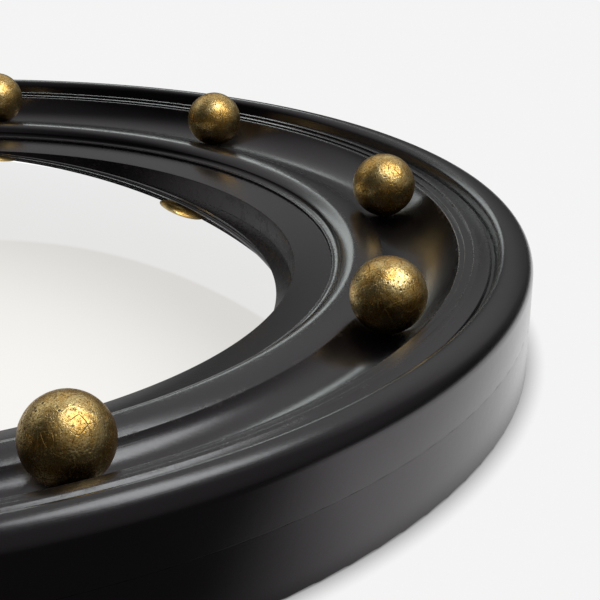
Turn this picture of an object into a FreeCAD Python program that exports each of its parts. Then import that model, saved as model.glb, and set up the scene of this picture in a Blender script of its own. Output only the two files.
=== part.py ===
import FreeCAD, Part

import math
import os

import Sketcher

# Convex butlers mirror, lying on its back: +Z is the way the glass looks, +Y is up when it hangs.
# The origin is on the axis of the frame, in the plane of its rear face.

SIZES = (
    # sight slip: the narrow inner member that holds the glass from the front
    ("sight_radius", 156.2, "opening of the sight slip at its top edge"),
    ("sight_flare", 0.6, "how much wider the opening is at the top than at the glass"),
    ("band_width", 13.8, "flat band of the sight slip"),
    ("band_inner_rise", 0.9, "inner edge of the band above the seam"),
    ("band_rise", 2.15, "outer edge of the band above its inner edge"),
    ("slip_seat_depth", 7.4, "seat of the slip in the rear ring, below the seam"),
    ("slip_tongue_width", 6.0, "tongue of the slip that the front moulding clamps"),
    # front moulding, from the inside outwards
    ("step_rise", 0.85, "step beside the band"),
    ("step_width", 0.9, "flat on the step"),
    ("hollow_width", 2.2, "small hollow up to the ridge"),
    ("hollow_rise", 1.9, "height of the small hollow"),
    ("ridge_inner_width", 5.6, "inner shoulder of the ridge"),
    ("ridge_inner_rise", 2.8, "height of the inner shoulder"),
    ("ridge_outer_width", 9.5, "outer slope of the ridge"),
    ("ridge_outer_fall", 1.4, "fall of the outer slope"),
    ("cove_width", 26.45, "cove that holds the balls"),
    ("cove_end_rise", 6.2, "outer edge of the cove above its inner edge"),
    ("cove_radius", 18.1, "radius of the cove"),
    ("lip_width", 1.85, "flat lip outside the cove"),
    ("lip_rise", 0.6, "first step of the stepped fillets"),
    ("tread_width", 3.0, "flat of the first step"),
    ("tread_rise", 0.8, "second step"),
    ("cap_width", 1.8, "flat of the second step"),
    ("slope_width", 3.2, "slope down to the fine line"),
    ("slope_fall", 1.0, "fall of that slope"),
    ("line_width", 0.8, "fine flat line before the groove"),
    ("groove_bevel_width", 0.6, "bevel into the groove"),
    ("groove_fall", 0.9, "depth of the groove"),
    ("groove_width", 0.8, "floor of the groove"),
    ("rim_riser_width", 1.03, "steep riser from the groove to the rim"),
    ("rim_riser_height", 3.18, "height of that riser"),
    ("rim_inner_width", 3.47, "inner shoulder of the rim"),
    ("rim_inner_height", 2.52, "height of the inner shoulder"),
    ("rim_crown_width", 5.9, "crowned top of the rim"),
    ("rim_crown_height", 1.47, "fall of the crown towards the side wall"),
    ("rim_round_radius", 5.27, "outer rounding of the rim"),
    ("arris_radius", 0.3, "softened arrises of the lacquered mouldings"),
    # rear ring
    ("seam_height", 21.0, "height of the rear ring: the seam that shows on the side wall"),
    ("recess_margin_width", 24.0, "recess in the back outside the circle of the turn buttons"),
    ("recess_depth", 4.0, "depth of that recess"),
    ("foot_radius", 0.8, "rounded lower arris of the side wall"),
    # glass, packing and back board
    ("dome_radius", 330.7, "radius of the front surface of the glass"),
    ("glass_thickness", 3.0, "thickness of the glass"),
    ("glass_lap_width", 5.4, "how far the glass reaches under the sight slip"),
    ("packing_wall_thickness", 1.3, "packing between the edge of the glass and the rear ring"),
    ("packing_width", 6.3, "width of the packing under the glass"),
    ("board_thickness", 3.0, "thickness of the back board"),
    ("lay_gap", 0.1, "gap between pieces that lie on each other"),
    ("board_gap", 0.3, "gap round the back board and the slip"),
    # gilded balls
    ("ball_radius", 12.5, "radius of a ball"),
    ("ball_seat_gap", 0.05, "gap between a ball and the floor of the cove"),
    ("ball_angle_01", 72.4, "place of a ball round the ring, in degrees"),
    ("ball_angle_02", 38.25, "place of a ball round the ring, in degrees"),
    ("ball_angle_03", 0.0, "place of a ball round the ring, in degrees"),
    ("ball_angle_04", -36.0, "place of a ball round the ring, in degrees"),
    ("ball_angle_05", -74.7, "place of a ball round the ring, in degrees"),
    ("ball_angle_06", -110.3, "place of a ball round the ring, in degrees"),
    ("ball_angle_07", -145.7, "place of a ball round the ring, in degrees"),
    ("ball_angle_08", 178.8, "place of a ball round the ring, in degrees"),
    ("ball_angle_09", 143.4, "place of a ball round the ring, in degrees"),
    ("ball_angle_10", 107.9, "place of a ball round the ring, in degrees"),
    # screws
    ("screw_fit", 0.05, "gap between a screw and its hole"),
    ("slot_width", 0.9, "slot in a screw head"),
    ("slot_depth", 0.7, "depth of that slot"),
    ("tip_length", 2.5, "point of a screw"),
    ("head_flat_share", 0.55, "flat of a screw head, as a share of its radius"),
    ("head_rim_share", 0.45, "rim of a screw head, as a share of its height"),
    ("slot_turn", 37.0, "turn from one screw slot to the next, in degrees"),
    ("ball_screw_radius", 1.5, "shank of a ball screw"),
    ("ball_screw_head_radius", 3.0, "head of a ball screw"),
    ("ball_screw_head_height", 1.6, "height of that head"),
    ("ball_screw_bore_depth", 1.9, "counterbore for that head in the front moulding"),
    ("ball_screw_grip_length", 12.0, "length of a ball screw inside its ball"),
    ("frame_screw_radius", 2.0, "shank of a frame screw"),
    ("frame_screw_head_radius", 4.0, "head of a frame screw"),
    ("frame_screw_head_height", 2.4, "height of that head"),
    ("frame_screw_bore_depth", 3.0, "counterbore for that head in the rear ring"),
    ("frame_screw_grip_length", 8.0, "length of a frame screw inside the front moulding"),
    ("frame_screw_set_back_width", 19.9, "circle of the frame screws inside the side wall"),
    ("frame_screw_count", 8, "number of frame screws"),
    ("frame_screw_turn", 22.5, "place of the first frame screw, in degrees"),
    # turn buttons that hold the back board
    ("button_thickness", 1.2, "thickness of a turn button"),
    ("button_head_radius", 6.0, "round end of a turn button, at its screw"),
    ("button_tip_radius", 4.0, "round tip of a turn button"),
    ("button_reach_length", 18.0, "from the screw to the centre of the tip"),
    ("button_set_back_width", 13.5, "screw of a turn button outside the bore of the rear ring"),
    ("button_bore_gap", 0.08, "gap between a turn button and its screw"),
    ("button_angle_1", 45.0, "place of a turn button, in degrees"),
    ("button_angle_2", 135.0, "place of a turn button, in degrees"),
    ("button_angle_3", 225.0, "place of a turn button, in degrees"),
    ("button_angle_4", 315.0, "place of a turn button, in degrees"),
    ("button_screw_radius", 1.6, "shank of a button screw"),
    ("button_screw_head_radius", 3.2, "head of a button screw"),
    ("button_screw_head_height", 1.6, "height of that head"),
    ("button_screw_cover_depth", 1.6, "wood between the point of a button screw and the slip"),
    # strap hangers
    ("wire_radius", 1.0, "wire of a hanger ring"),
    ("wire_gap", 0.08, "gap between the wire and the loop of its strap"),
    ("strap_sheet_thickness", 0.7, "sheet of a strap"),
    ("strap_width", 12.0, "width of a strap"),
    ("strap_length", 25.0, "from the loop to the end of a strap"),
    ("strap_hole_near_length", 7.0, "first screw, from the loop"),
    ("strap_hole_far_length", 20.5, "second screw, from the loop"),
    ("ring_half_width", 9.0, "half the width of a hanger ring, to the middle of the wire"),
    ("ring_corner_radius", 2.5, "corner of a hanger ring, to the middle of the wire"),
    ("ring_height", 14.0, "height of a hanger ring, to the middle of the wire"),
    ("hanger_set_back_width", 8.0, "circle of the hangers outside that of the turn buttons"),
    ("hanger_shift_length", 5.5, "loop of a hanger ahead of its place on the circle"),
    ("hanger_angle_right", 15.0, "place of the right hanger, in degrees"),
    ("hanger_angle_left", 165.0, "place of the left hanger, in degrees"),
    ("hanger_screw_radius", 1.5, "shank of a hanger screw"),
    ("hanger_screw_head_radius", 2.9, "head of a hanger screw"),
    ("hanger_screw_head_height", 1.4, "height of that head"),
    ("hanger_screw_grip_length", 11.0, "length of a hanger screw inside the rear ring"),
)

BALLS = tuple("%02d" % number for number in range(1, 11))
BUTTONS = ("1", "2", "3", "4")
SIDES = ("right", "left")
HANGER_TURN = {"right": 90.0, "left": -90.0}


class Size:
    """A number of the sheet, or a sum of such numbers, with the expression that gives it."""

    def __init__(self, value, text):
        self.value = value
        self.text = text

    def __add__(self, other):
        other = size_of(other)
        return Size(self.value + other.value, "(%s + %s)" % (self.text, other.text))

    def __sub__(self, other):
        other = size_of(other)
        return Size(self.value - other.value, "(%s - %s)" % (self.text, other.text))

    def __mul__(self, other):
        other = size_of(other)
        return Size(self.value * other.value, "(%s * %s)" % (self.text, other.text))

    def __truediv__(self, other):
        other = size_of(other)
        return Size(self.value / other.value, "(%s / %s)" % (self.text, other.text))

    def __neg__(self):
        return Size(-self.value, "(0 - %s)" % self.text)


def size_of(number):
    """Give a bare number the form of a size."""
    if isinstance(number, Size):
        return number
    return Size(float(number), repr(float(number)))


def root(size):
    """Square root of a size."""
    return Size(math.sqrt(size.value), "sqrt(%s)" % size.text)


def cos_of(angle):
    """Cosine of an angle in degrees."""
    return Size(math.cos(math.radians(angle.value)), "cos(%s)" % angle.text)


def sin_of(angle):
    """Sine of an angle in degrees."""
    return Size(math.sin(math.radians(angle.value)), "sin(%s)" % angle.text)


def crown_radius(width, height):
    """Radius of an arc that starts level and moves by width while it rises or falls by height."""
    return (width * width + height * height) / (height * 2)


doc = FreeCAD.newDocument("ButlersMirror")
sheet = doc.addObject("Spreadsheet::Sheet", "Sizes")
sheet.Label = "Sizes"
s = {}
for row, (alias, number, note) in enumerate(SIZES, start=2):
    sheet.set("A%d" % row, alias)
    sheet.set("B%d" % row, str(number))
    sheet.set("C%d" % row, note)
    sheet.setAlias("B%d" % row, alias)
    s[alias] = Size(float(number), "Sizes.%s" % alias)
doc.recompute()

ZERO = size_of(0)

# ---------------------------------------------------------------- places shared by several pieces

seam_z = s["seam_height"]
ledge_z = seam_z - s["slip_seat_depth"]
lip_radius = s["sight_radius"] - s["sight_flare"]
band_radius = s["sight_radius"] + s["band_width"]
band_inner_z = seam_z + s["band_inner_rise"]
band_outer_z = band_inner_z + s["band_rise"]
tongue_radius = band_radius + s["slip_tongue_width"]

step = (band_radius + s["step_width"], band_outer_z + s["step_rise"])
hollow_end = (step[0] + s["hollow_width"], step[1] + s["hollow_rise"])
crest = (hollow_end[0] + s["ridge_inner_width"], hollow_end[1] + s["ridge_inner_rise"])
cove_start = (crest[0] + s["ridge_outer_width"], crest[1] - s["ridge_outer_fall"])
cove_end = (cove_start[0] + s["cove_width"], cove_start[1] + s["cove_end_rise"])
lip_edge = (cove_end[0] + s["lip_width"], cove_end[1])
tread_edge = (lip_edge[0] + s["tread_width"], lip_edge[1] + s["lip_rise"])
cap_edge = (tread_edge[0] + s["cap_width"], tread_edge[1] + s["tread_rise"])
line_start = (cap_edge[0] + s["slope_width"], cap_edge[1] - s["slope_fall"])
line_end = (line_start[0] + s["line_width"], line_start[1])
groove_start = (line_end[0] + s["groove_bevel_width"], line_end[1] - s["groove_fall"])
groove_end = (groove_start[0] + s["groove_width"], groove_start[1])
riser_end = (groove_end[0] + s["rim_riser_width"], groove_end[1] + s["rim_riser_height"])
rim_top = (riser_end[0] + s["rim_inner_width"], riser_end[1] + s["rim_inner_height"])
rim_edge = (rim_top[0] + s["rim_crown_width"], rim_top[1] - s["rim_crown_height"])
rim_crown_radius = crown_radius(s["rim_crown_width"], s["rim_crown_height"])
rim_lean = s["rim_crown_width"] / rim_crown_radius
wall_radius = rim_edge[0] + s["rim_round_radius"] * (size_of(1) - rim_lean)
wall_top_z = rim_edge[1] - s["rim_round_radius"] * root(size_of(1) - rim_lean * rim_lean)

# centre of the cove's arc, which is above its chord; the balls sit at its lowest line
cove_chord = root(s["cove_width"] * s["cove_width"] + s["cove_end_rise"] * s["cove_end_rise"])
cove_lift = root(s["cove_radius"] * s["cove_radius"] - cove_chord * cove_chord / 4)
ball_ring_radius = (cove_start[0] + cove_end[0]) / 2 - s["cove_end_rise"] / cove_chord * cove_lift
cove_centre_z = (cove_start[1] + cove_end[1]) / 2 + s["cove_width"] / cove_chord * cove_lift
cove_floor_z = cove_centre_z - s["cove_radius"]
ball_centre_z = cove_floor_z + s["ball_seat_gap"] + s["ball_radius"]

# the glass touches the lower edge of the sight slip; its two surfaces have one centre
glass_radius = lip_radius + s["glass_lap_width"]
dome_square = s["dome_radius"] * s["dome_radius"]
dome_centre_z = ledge_z - s["lay_gap"] - root(dome_square - lip_radius * lip_radius)
back_radius = s["dome_radius"] - s["glass_thickness"]
edge_cosine = root(dome_square - glass_radius * glass_radius) / s["dome_radius"]
front_edge = (glass_radius, dome_centre_z + s["dome_radius"] * edge_cosine)
back_edge = (glass_radius / s["dome_radius"] * back_radius,
             dome_centre_z + back_radius * edge_cosine)

bore_radius = glass_radius + s["packing_wall_thickness"] + s["lay_gap"] * 2
recess_z = s["recess_depth"]
board_top_z = recess_z + s["board_thickness"]
button_ring_radius = bore_radius + s["button_set_back_width"]
hanger_ring_radius = button_ring_radius + s["hanger_set_back_width"]
recess_radius = button_ring_radius + s["recess_margin_width"]
frame_screw_ring_radius = wall_radius - s["frame_screw_set_back_width"]
button_screw_grip = ledge_z - recess_z - s["button_screw_cover_depth"]
button_top_z = recess_z - s["lay_gap"]
button_under_z = button_top_z - s["button_thickness"]

loop_radius = s["wire_radius"] + s["wire_gap"] + s["strap_sheet_thickness"]
strap_top_z = recess_z - s["lay_gap"]
loop_z = strap_top_z - loop_radius
strap_under_z = strap_top_z - s["strap_sheet_thickness"] * 2


# ---------------------------------------------------------------- helpers


def origin_plane(body, role):
    """One of a body's own origin planes or axes."""
    for feature in body.Origin.OriginFeatures:
        if feature.Role == role:
            return feature
    raise ValueError("no %s in %s" % (role, body.Label))


def new_body(label):
    """An empty body with its own name."""
    body = doc.addObject("PartDesign::Body", label)
    body.Label = label
    return body


def new_sketch(body, label, role="XZ_Plane", height=None):
    """A sketch on an origin plane of its body, raised along the plane's normal when asked."""
    sketch = body.newObject("Sketcher::SketchObject", label)
    sketch.AttachmentSupport = [(origin_plane(body, role), "")]
    sketch.MapMode = "FlatFace"
    if height is not None:
        sketch.AttachmentOffset = FreeCAD.Placement(
            FreeCAD.Vector(0, 0, height.value), FreeCAD.Rotation()
        )
        sketch.setExpression(".AttachmentOffset.Base.z", height.text)
    return sketch


def pin_point(sketch, geo, end, across, up):
    """Hold one end of a line or arc at a place given by two sizes."""
    for kind, axis, size in (("DistanceX", -2, across), ("DistanceY", -1, up)):
        if size is ZERO:
            sketch.addConstraint(Sketcher.Constraint("PointOnObject", geo, end, axis))
            continue
        index = sketch.addConstraint(Sketcher.Constraint(kind, geo, end, size.value))
        sketch.setExpression("Constraints[%d]" % index, size.text)


def arc_between(start, end, radius, side):
    """Arc from start to end; side 1 bulges to the left of the way, side -1 to the right."""
    ax, ay = start[0].value, start[1].value
    bx, by = end[0].value, end[1].value
    chord = math.hypot(bx - ax, by - ay)
    lift = math.sqrt(max(radius.value ** 2 - chord ** 2 / 4, 0.0))
    cx = (ax + bx) / 2 + side * lift * (by - ay) / chord
    cy = (ay + by) / 2 - side * lift * (bx - ax) / chord
    centre = FreeCAD.Vector(cx, cy, 0)
    circle = Part.Circle(centre, FreeCAD.Vector(0, 0, 1), radius.value)
    first = math.atan2(ay - cy, ax - cx)
    last = math.atan2(by - cy, bx - cx)
    if side > 0:
        first, last = last, first
    return Part.ArcOfCircle(circle, first, last)


def same_place(one, other):
    """Whether two places coincide."""
    across = abs(one[0].value - other[0].value)
    up = abs(one[1].value - other[1].value)
    return max(across, up) < 1e-7


def draw_outline(sketch, start, *runs):
    """Draw a closed outline; a run is (across, up) for a line, with radius and side for an arc."""
    here = start
    ends = []
    runs = list(runs)
    if not same_place(runs[-1], start):
        runs.append(start)
    for run in runs:
        there = (run[0], run[1])
        if len(run) == 2:
            line = Part.LineSegment(
                FreeCAD.Vector(here[0].value, here[1].value, 0),
                FreeCAD.Vector(there[0].value, there[1].value, 0),
            )
            geo = sketch.addGeometry(line, False)
            ends.append((geo, 1, 2, here))
        else:
            geo = sketch.addGeometry(arc_between(here, there, run[2], run[3]), False)
            first, last = (2, 1) if run[3] > 0 else (1, 2)
            ends.append((geo, first, last, here))
            index = sketch.addConstraint(Sketcher.Constraint("Radius", geo, run[2].value))
            sketch.setExpression("Constraints[%d]" % index, run[2].text)
        here = there
    for number, (geo, first, last, place) in enumerate(ends):
        before = ends[number - 1]
        sketch.addConstraint(Sketcher.Constraint("Coincident", before[0], before[2], geo, first))
        pin_point(sketch, geo, first, place[0], place[1])


def draw_circle(sketch, across, up, radius):
    """Draw a circle at a place and with a radius given by sizes."""
    centre = FreeCAD.Vector(across.value, up.value, 0)
    circle = Part.Circle(centre, FreeCAD.Vector(0, 0, 1), radius.value)
    geo = sketch.addGeometry(circle, False)
    pin_point(sketch, geo, 3, across, up)
    index = sketch.addConstraint(Sketcher.Constraint("Radius", geo, radius.value))
    sketch.setExpression("Constraints[%d]" % index, radius.text)


def turn(body, sketch, label="turned"):
    """Turn a half section round the body's Z axis."""
    feature = body.newObject("PartDesign::Revolution", label)
    feature.Profile = sketch
    feature.ReferenceAxis = (sketch, ["V_Axis"])
    feature.Angle = 360.0
    doc.recompute()
    return feature


def turned_body(label, start, *runs):
    """A body turned from one closed half section."""
    body = new_body(label)
    sketch = new_sketch(body, label + "_section")
    draw_outline(sketch, start, *runs)
    turn(body, sketch)
    return body


def pad(body, sketch, length, both_ways=False, down=False):
    """Pad a sketch by a size."""
    feature = body.newObject("PartDesign::Pad", "padded")
    feature.Profile = sketch
    feature.Length = length.value
    feature.setExpression("Length", length.text)
    feature.Midplane = both_ways
    feature.Reversed = down
    doc.recompute()
    return feature


def drill(body, label, height, depth, upward, circles):
    """Cut round holes; circles is a list of (across, up, radius)."""
    before = body.Shape.Volume
    sketch = new_sketch(body, label, "XY_Plane", height)
    for across, up, radius in circles:
        draw_circle(sketch, across, up, radius)
    feature = body.newObject("PartDesign::Pocket", label + "_cut")
    feature.Profile = sketch
    feature.Length = depth.value
    feature.setExpression("Length", depth.text)
    feature.Reversed = upward
    doc.recompute()
    if not body.Shape.Volume < before:
        raise ValueError("the holes %s cut nothing" % label)
    return feature


def soften(body, label, radius, places):
    """Round the circular arrises at the given (radius, height) places."""
    base = body.Tip
    wanted = []
    for number, edge in enumerate(body.Shape.Edges, start=1):
        if not isinstance(edge.Curve, Part.Circle):
            continue
        for across, up in places:
            off_axis = math.hypot(edge.Curve.Center.x, edge.Curve.Center.y)
            same_radius = abs(edge.Curve.Radius - across.value) < 1e-4
            same_height = abs(edge.Curve.Center.z - up.value) < 1e-4
            if off_axis < 1e-4 and same_radius and same_height:
                wanted.append("Edge%d" % number)
    feature = body.newObject("PartDesign::Fillet", label)
    feature.Base = (base, wanted)
    feature.Radius = radius.value
    feature.setExpression("Radius", radius.text)
    doc.recompute()
    return feature


def around(radius, angle):
    """The place on a circle round the axis at an angle in degrees."""
    return (radius * cos_of(angle), radius * sin_of(angle))


def place(body, across, deep, up, angle=None):
    """Put a body at its place, turned about Z by an angle in degrees when asked."""
    spin = FreeCAD.Rotation(FreeCAD.Vector(0, 0, 1), angle.value if angle else 0.0)
    where = FreeCAD.Vector(across.value, deep.value, up.value)
    body.Placement = FreeCAD.Placement(where, spin)
    body.setExpression(".Placement.Base.x", across.text)
    body.setExpression(".Placement.Base.y", deep.text)
    body.setExpression(".Placement.Base.z", up.text)
    if angle:
        body.setExpression(".Placement.Rotation.Angle", angle.text)


def copies(label, master, places, up):
    """One node with a copy of a master screw at each (x, y) place, each slot turned on a little."""
    solids = []
    for index, (across, deep) in enumerate(places):
        solid = master.Shape.copy()
        solid.Placement = FreeCAD.Placement(
            FreeCAD.Vector(across.value, deep.value, up.value),
            FreeCAD.Rotation(FreeCAD.Vector(0, 0, 1), s["slot_turn"].value * index),
        )
        solids.append(solid)
    node = doc.addObject("Part::Feature", label)
    node.Label = label
    node.Shape = Part.makeCompound(solids)
    return node


def wood_screw(label, shank, head_radius, head_height, length):
    """A round-headed wood screw: point up, its head's bearing face at the origin."""
    body = turned_body(
        label,
        (ZERO, -head_height),
        (head_radius * s["head_flat_share"], -head_height),
        (head_radius, -head_height * s["head_rim_share"]),
        (head_radius, ZERO),
        (shank, ZERO),
        (shank, length - s["tip_length"]),
        (ZERO, length),
    )
    sketch = new_sketch(body, label + "_slot", "XY_Plane", -head_height)
    half = s["slot_width"] / 2
    reach = head_radius + s["slot_width"]
    draw_outline(sketch, (-reach, -half), (reach, -half), (reach, half), (-reach, half))
    before = body.Shape.Volume
    feature = body.newObject("PartDesign::Pocket", label + "_slot_cut")
    feature.Profile = sketch
    feature.Length = s["slot_depth"].value
    feature.setExpression("Length", s["slot_depth"].text)
    feature.Reversed = True
    doc.recompute()
    if not body.Shape.Volume < before:
        raise ValueError("the slot of %s cuts nothing" % label)
    return body


# ---------------------------------------------------------------- frame


def make_rear_ring():
    """The rear half of the frame: ledge for the slip, bore for the glass, recess for fittings."""
    body = turned_body(
        "rear_ring",
        (bore_radius, recess_z),
        (bore_radius, ledge_z),
        (tongue_radius + s["board_gap"], ledge_z),
        (tongue_radius + s["board_gap"], seam_z),
        (wall_radius, seam_z),
        (wall_radius, ZERO),
        (recess_radius, ZERO),
        (recess_radius, recess_z),
    )
    soften(body, "foot", s["foot_radius"], [(wall_radius, ZERO)])
    screw = s["frame_screw_radius"] + s["screw_fit"]
    head = s["frame_screw_head_radius"] + s["screw_fit"]
    places = frame_screw_places()
    through = [(x, y, screw) for x, y in places]
    drill(body, "frame_screw_holes", ZERO, seam_z, True, through)
    sunk = [(x, y, head) for x, y in places]
    drill(body, "frame_screw_bores", ZERO, s["frame_screw_bore_depth"], True, sunk)
    screw = s["button_screw_radius"] + s["screw_fit"]
    pilots = [(x, y, screw) for x, y in button_places()]
    drill(body, "button_screw_holes", recess_z, button_screw_grip, True, pilots)
    screw = s["hanger_screw_radius"] + s["screw_fit"]
    pilots = [(x, y, screw) for x, y in hanger_screw_places()]
    drill(body, "hanger_screw_holes", recess_z, s["hanger_screw_grip_length"], True, pilots)
    return body


def make_front_moulding():
    """The front half of the frame, from the step beside the band out to the rounded rim."""
    inner = band_radius + s["lay_gap"]
    body = turned_body(
        "front_moulding",
        (inner, seam_z),
        (inner, step[1]),
        step,
        hollow_end + (crown_radius(s["hollow_width"], s["hollow_rise"]), -1),
        crest + (crown_radius(s["ridge_inner_width"], s["ridge_inner_rise"]), 1),
        cove_start + (crown_radius(s["ridge_outer_width"], s["ridge_outer_fall"]), 1),
        cove_end + (s["cove_radius"], -1),
        lip_edge,
        (lip_edge[0], tread_edge[1]),
        tread_edge,
        (tread_edge[0], cap_edge[1]),
        cap_edge,
        line_start,
        line_end,
        groove_start,
        groove_end,
        riser_end,
        rim_top + (crown_radius(s["rim_inner_width"], s["rim_inner_height"]), 1),
        rim_edge + (rim_crown_radius, 1),
        (wall_radius, wall_top_z, s["rim_round_radius"], 1),
        (wall_radius, seam_z),
    )
    arrises = [cove_start, cove_end, (lip_edge[0], tread_edge[1]), (tread_edge[0], cap_edge[1]),
               cap_edge, line_end]
    soften(body, "arrises", s["arris_radius"], arrises)
    screw = s["frame_screw_radius"] + s["screw_fit"]
    pilots = [(x, y, screw) for x, y in frame_screw_places()]
    drill(body, "frame_screw_pilots", seam_z, s["frame_screw_grip_length"], True, pilots)
    screw = s["ball_screw_radius"] + s["screw_fit"]
    head = s["ball_screw_head_radius"] + s["screw_fit"]
    places = [ball_place(number) for number in BALLS]
    through = [(x, y, screw) for x, y in places]
    drill(body, "ball_screw_holes", seam_z, ball_centre_z - seam_z, True, through)
    sunk = [(x, y, head) for x, y in places]
    drill(body, "ball_screw_bores", seam_z, s["ball_screw_bore_depth"], True, sunk)
    return body


def make_sight_slip():
    """The inner member with the flat band, whose lower edge bears on the glass."""
    body = turned_body(
        "sight_slip",
        (lip_radius, ledge_z),
        (s["sight_radius"], band_inner_z),
        (band_radius, band_outer_z),
        (band_radius, seam_z - s["lay_gap"]),
        (tongue_radius, seam_z - s["lay_gap"]),
        (tongue_radius, ledge_z),
    )
    arrises = [(s["sight_radius"], band_inner_z), (band_radius, band_outer_z)]
    soften(body, "arrises", s["arris_radius"], arrises)
    return body


# ---------------------------------------------------------------- glass and back


def make_convex_glass():
    """The domed glass: two spherical surfaces with one centre, its edge ground square to them."""
    return turned_body(
        "convex_glass",
        (ZERO, dome_centre_z + back_radius),
        (ZERO, dome_centre_z + s["dome_radius"]),
        front_edge + (s["dome_radius"], 1),
        back_edge,
        (ZERO, dome_centre_z + back_radius, back_radius, -1),
    )


def make_packing_ring():
    """Felt packing under and round the edge of the glass."""
    gap = s["lay_gap"]
    inner = glass_radius + s["packing_wall_thickness"] - s["packing_width"]
    outer = glass_radius + s["packing_wall_thickness"] + gap
    under = dome_centre_z + root(back_radius * back_radius - inner * inner)
    return turned_body(
        "packing_ring",
        (inner, board_top_z),
        (outer, board_top_z),
        (outer, front_edge[1]),
        (front_edge[0] + gap, front_edge[1]),
        (back_edge[0] + gap, back_edge[1] - gap),
        (inner, under - gap),
    )


def make_back_board():
    """The board that closes the back, flush with the floor of the recess."""
    edge = bore_radius - s["board_gap"]
    return turned_body(
        "back_board",
        (ZERO, recess_z),
        (edge, recess_z),
        (edge, board_top_z),
        (ZERO, board_top_z),
    )


# ---------------------------------------------------------------- balls and screws


def ball_place(number):
    """The place of a ball's axis, seen from the front."""
    return around(ball_ring_radius, s["ball_angle_" + number])


def make_ball(number):
    """A gilded ball with a pilot hole in its underside for its screw."""
    pilot = s["ball_screw_radius"] + s["screw_fit"]
    hole_foot = -root(s["ball_radius"] * s["ball_radius"] - pilot * pilot)
    hole_top = s["ball_screw_grip_length"] - s["ball_radius"] + s["screw_fit"]
    body = turned_body(
        "gilt_ball_" + number,
        (ZERO, hole_top),
        (pilot, hole_top),
        (pilot, hole_foot),
        (ZERO, s["ball_radius"], s["ball_radius"], -1),
    )
    across, deep = ball_place(number)
    place(body, across, deep, ball_centre_z)
    return body


def make_ball_screws():
    """The screws that hold the balls, put in from under the front moulding."""
    bearing = seam_z + s["ball_screw_bore_depth"]
    length = ball_centre_z - s["ball_radius"] + s["ball_screw_grip_length"] - bearing
    master = wood_screw(
        "ball_screw",
        s["ball_screw_radius"],
        s["ball_screw_head_radius"],
        s["ball_screw_head_height"],
        length,
    )
    return copies("ball_screws", master, [ball_place(number) for number in BALLS], bearing)


def frame_screw_places():
    """The places of the screws that join the two halves of the frame."""
    count = int(s["frame_screw_count"].value)
    places = []
    for number in range(count):
        angle = s["frame_screw_turn"] + size_of(360 * number) / s["frame_screw_count"]
        places.append(around(frame_screw_ring_radius, angle))
    return places


def make_frame_screws():
    """The screws that join the two halves of the frame, from the rear face."""
    bearing = s["frame_screw_bore_depth"]
    master = wood_screw(
        "frame_screw",
        s["frame_screw_radius"],
        s["frame_screw_head_radius"],
        s["frame_screw_head_height"],
        seam_z - bearing + s["frame_screw_grip_length"],
    )
    return copies("frame_screws", master, frame_screw_places(), bearing)


# ---------------------------------------------------------------- turn buttons


def button_places():
    """The places of the screws of the turn buttons."""
    return [around(button_ring_radius, s["button_angle_" + number]) for number in BUTTONS]


def make_turn_button(number):
    """A stamped turn button whose tip holds the back board; it swings about its screw."""
    label = "turn_button_" + number
    body = new_body(label)
    sketch = new_sketch(body, label + "_outline", "XY_Plane")
    head = s["button_head_radius"]
    tip = s["button_tip_radius"]
    reach = s["button_reach_length"]
    lean = (head - tip) / reach
    square = root(size_of(1) - lean * lean)
    draw_outline(
        sketch,
        (head * lean, head * square),
        (head * lean, -(head * square), head, -1),
        (reach + tip * lean, -(tip * square)),
        (reach + tip * lean, tip * square, tip, -1),
    )
    draw_circle(sketch, ZERO, ZERO, s["button_screw_radius"] + s["button_bore_gap"])
    pad(body, sketch, s["button_thickness"])
    across, deep = around(button_ring_radius, s["button_angle_" + number])
    place(body, across, deep, button_under_z, s["button_angle_" + number] + 180)
    return body


def make_button_screws():
    """The screws on which the turn buttons swing."""
    bearing = button_under_z - s["lay_gap"]
    master = wood_screw(
        "button_screw",
        s["button_screw_radius"],
        s["button_screw_head_radius"],
        s["button_screw_head_height"],
        recess_z - bearing + button_screw_grip,
    )
    return copies("button_screws", master, button_places(), bearing)


# ---------------------------------------------------------------- strap hangers


def hanger_turn(side):
    """The way a hanger points, in degrees: along the circle and upwards."""
    return s["hanger_angle_" + side] + HANGER_TURN[side]


def hanger_point(side, ahead):
    """A place on a hanger's middle line, so far ahead of its loop."""
    across, deep = around(hanger_ring_radius, s["hanger_angle_" + side])
    way = hanger_turn(side)
    along = s["hanger_shift_length"] + ahead
    return (across + along * cos_of(way), deep + along * sin_of(way))


def hanger_screw_places():
    """The places of the screws of both hangers."""
    places = []
    for side in SIDES:
        places.append(hanger_point(side, -s["strap_hole_near_length"]))
        places.append(hanger_point(side, -s["strap_hole_far_length"]))
    return places


def make_hanger_strap(side):
    """A strap folded round the wire of its ring and screwed to the floor of the recess."""
    label = "hanger_strap_" + side
    body = new_body(label)
    sketch = new_sketch(body, label + "_section")
    outer = loop_radius
    fold = s["strap_sheet_thickness"] * 2
    inward = outer - fold
    back = -root(outer * outer - inward * inward)
    end = -s["strap_length"]
    draw_outline(
        sketch,
        (end, outer),
        (ZERO, outer),
        (outer, ZERO, outer, 1),
        (ZERO, -outer, outer, 1),
        (back, inward, outer, 1),
        (end, inward),
    )
    draw_circle(sketch, ZERO, ZERO, s["wire_radius"] + s["wire_gap"])
    pad(body, sketch, s["strap_width"], both_ways=True)
    screw = s["hanger_screw_radius"] + s["screw_fit"]
    holes = [(-s["strap_hole_near_length"], ZERO, screw), (-s["strap_hole_far_length"], ZERO, screw)]
    drill(body, label + "_holes", inward, fold, True, holes)
    across, deep = hanger_point(side, ZERO)
    place(body, across, deep, loop_z, hanger_turn(side))
    return body


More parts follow.
